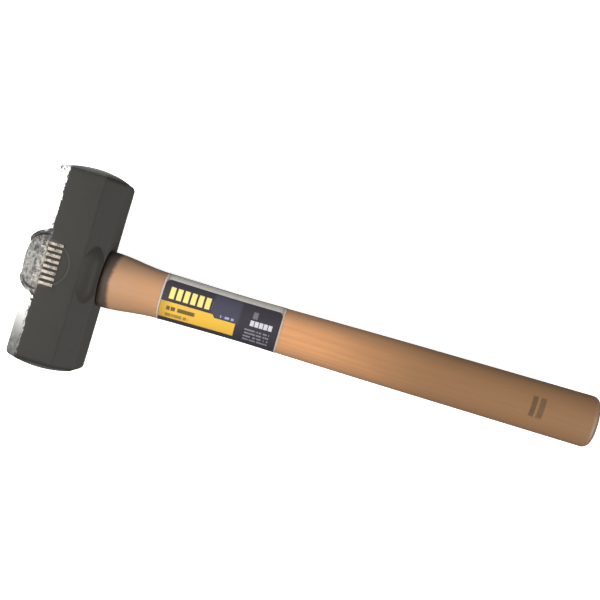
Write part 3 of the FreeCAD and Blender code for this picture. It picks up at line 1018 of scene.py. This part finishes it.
def printedLabel():
    material, tree = newMaterial("printedLabel")
    across, down = printAxes(tree)
    art = labelPrint
    ripple = tree.noise(tree.vector(across, down, 0.0), 0.35, 3.0)
    colour = tree.mix(ripple, art["navy"], [part * 1.5 for part in art["navy"]])
    colour = tree.mix(paintBox(tree, across, down, art["blueArea"], 1.5), colour, art["blue"])
    slope = tree.upper(across - art["panelTab"][1], 0.0) * art["tabSlope"]
    tab = paintBox(tree, across, down - slope, (art["panelTab"][0], art["tabTip"], *art["panelTab"][2:]))
    panel = tree.upper(tab * (1 - tree.step(down, 23.0, 23.5)), paintBox(tree, across, down, art["panel"]))
    yellow = tree.mix(tree.step(across, 0.0, 14.0), [part * 0.62 for part in art["yellow"]], art["yellow"])
    colour = tree.mix(panel, colour, yellow)
    left, right = art["headline"][:2]
    block = tree.maths("FRACT", (across - left) * (art["headlineCount"] / (right - left)))
    blocks = paintBox(tree, across, down, art["headline"]) * (
        1 - tree.step(block, art["headlineFill"] - 0.04, art["headlineFill"] + 0.04))
    colour = tree.mix(blocks, colour, art["paleYellow"])
    boldRow = paintRows(tree, across, down, art["boldRow"], 6.0, 0.60, 3.0)
    colour = tree.mix(boldRow * 0.9, colour, art["ink"])
    lightRow = paintRows(tree, across, down, art["lightRow"], 6.0, 0.50, 8.0)
    colour = tree.mix(lightRow * 0.6, colour, art["ink"])
    smallRow = paintRows(tree, across, down, art["smallRow"], 6.0, 0.40, 5.0)
    colour = tree.mix(smallRow, colour, art["paleBlue"])
    badge = paintBox(tree, across, down, art["badge"], 0.5)
    colour = tree.mix(badge * 0.35, colour, art["grey"])
    whiteBlock = tree.maths("FRACT", (across - art["whiteRow"][0]) / art["whitePitch"])
    whiteBlocks = paintBox(tree, across, down, art["whiteRow"]) * (1 - tree.step(whiteBlock, 0.78, 0.88))
    colour = tree.mix(whiteBlocks * 0.85, colour, art["white"])
    smallPrint = paintRows(tree, across, down, art["smallPrint"], 3.0, 0.5, 1.0)
    colour = tree.mix(smallPrint * 0.4, colour, art["dimWhite"])
    surface = tree.add("ShaderNodeBsdfPrincipled", None, {
        "Base Color": colour, "Roughness": 0.42 + ripple * 0.1, "Specular IOR Level": 0.35,
    })
    finishMaterial(tree, surface)
    return material


def clearFilm():
    material, tree = newMaterial("clearFilm")
    across, down = printAxes(tree)
    cloud = tree.noise(tree.vector(across, down, 0.0), 0.25, 3.0)
    # the pale bands along the film's upper edge and at its ends are a painted sheen on the clear film
    upperSheen = 1 - tree.step(down, 9.5, 10.0)
    fromEnd = tree.lower(across, film["length"] - across)
    endSheen = tree.step(fromEnd, 1.0, 1.5) * (1 - tree.step(fromEnd, 2.5, 2.8))
    upperSheen = upperSheen * tree.step(fromEnd, 0.5, 7.0)
    paintedSheen = tree.clamp(upperSheen * 0.76 + endSheen * 0.50 + 0.015)
    surface = tree.add("ShaderNodeBsdfPrincipled", None, {
        "Base Color": (0.56, 0.53, 0.49, 1.0), "Roughness": 0.12 + cloud * 0.1,
        "Alpha": paintedSheen * (0.8 + cloud * 0.4), "Specular IOR Level": 0.5,
    })
    finishMaterial(tree, surface)
    return material


view = {
    "height": 645 * mm,  # over the hammer's middle plane
    "fromHead": (193.0 * mm, 29.4 * mm),
    "turn": 16.5,
    "fieldOfView": 43.05,
}


def placeCamera():
    data = bpy.data.cameras.new("camera")
    data.sensor_width = 36
    data.angle = math.radians(view["fieldOfView"])
    data.clip_start = 0.01
    camera = bpy.data.objects.new("camera", data)
    scene.collection.objects.link(camera)
    camera.location = (headX + view["fromHead"][0], view["fromHead"][1], axisHeight + view["height"])
    camera.rotation_euler = (0, 0, math.radians(view["turn"]))
    scene.camera = camera


def placeFloor():
    bpy.ops.mesh.primitive_plane_add(size=8, location=(0, 0, 0))
    floor = bpy.context.object
    floor.name = "floor"
    material, tree = newMaterial("paleFloor")
    surface = tree.add("ShaderNodeBsdfPrincipled", None, {
        "Base Color": (0.86, 0.86, 0.86, 1.0), "Roughness": 0.9,
        "Emission Color": (1, 1, 1, 1), "Emission Strength": 0.8,
    })
    finishMaterial(tree, surface)
    floor.data.materials.append(material)
    floor.visible_diffuse = False
    floor.visible_glossy = False


def placeLight(name, place, target, size, power):
    data = bpy.data.lights.new(name, "AREA")
    data.shape = "SQUARE"
    data.size = size
    data.energy = power
    lamp = bpy.data.objects.new(name, data)
    scene.collection.objects.link(lamp)
    lamp.location = place
    aim = Vector(target) - Vector(place)
    lamp.rotation_euler = aim.to_track_quat("-Z", "Y").to_euler()


lights = {  # place, aim, size and power
    "key": ((-0.50, -0.06, 0.46), (headX + 0.10, 0, 0.03), 0.15, 3.6),
    "lowLeft": ((-0.50, 0.20, 0.13), (headX - 0.02, 0.0, 0.04), 0.16, 2.0),
    "right": ((3.4, -0.6, 1.37), (headX, 0, 0.03), 2.2, 225.0),
}


def lightStage():
    world = bpy.data.worlds.new("studio")
    world.use_nodes = True
    world.node_tree.nodes["Background"].inputs["Color"].default_value = (1, 1, 1, 1)
    world.node_tree.nodes["Background"].inputs["Strength"].default_value = 0.16
    scene.world = world
    for name, (place, aim, size, power) in lights.items():
        placeLight(name, place, aim, size, power)
    scene.view_settings.view_transform = "Standard"


placeCamera()
placeFloor()
lightStage()
print("stage set")

steel = forgedSteel()
makeHead(steel)
print("head made")

wood = hickory()
handlePiece = makeHandle(wood)
print("shaft made")

wrapTree = buildWrapTree(wood, handlePiece)
labelPiece = makeSheet("printed_label", label, wrapTree, printedLabel(), handlePiece)
filmPiece = makeSheet("clear_film", film, wrapTree, clearFilm(), handlePiece)
finishPiece(labelPiece, "printed_label", "label")
finishPiece(filmPiece, "clear_film", "label_film")
print("label and film laid")

fitTenon(handlePiece, wood)
finishPiece(handlePiece, "hardwood", "handle")
dressNode("wood_wedge", wedgeWood())
wedgeMetal = wedgeSteel()
for node in ("steel_wedge_left", "steel_wedge_right"):
    dressNode(node, wedgeMetal)
print("tenon fitted")
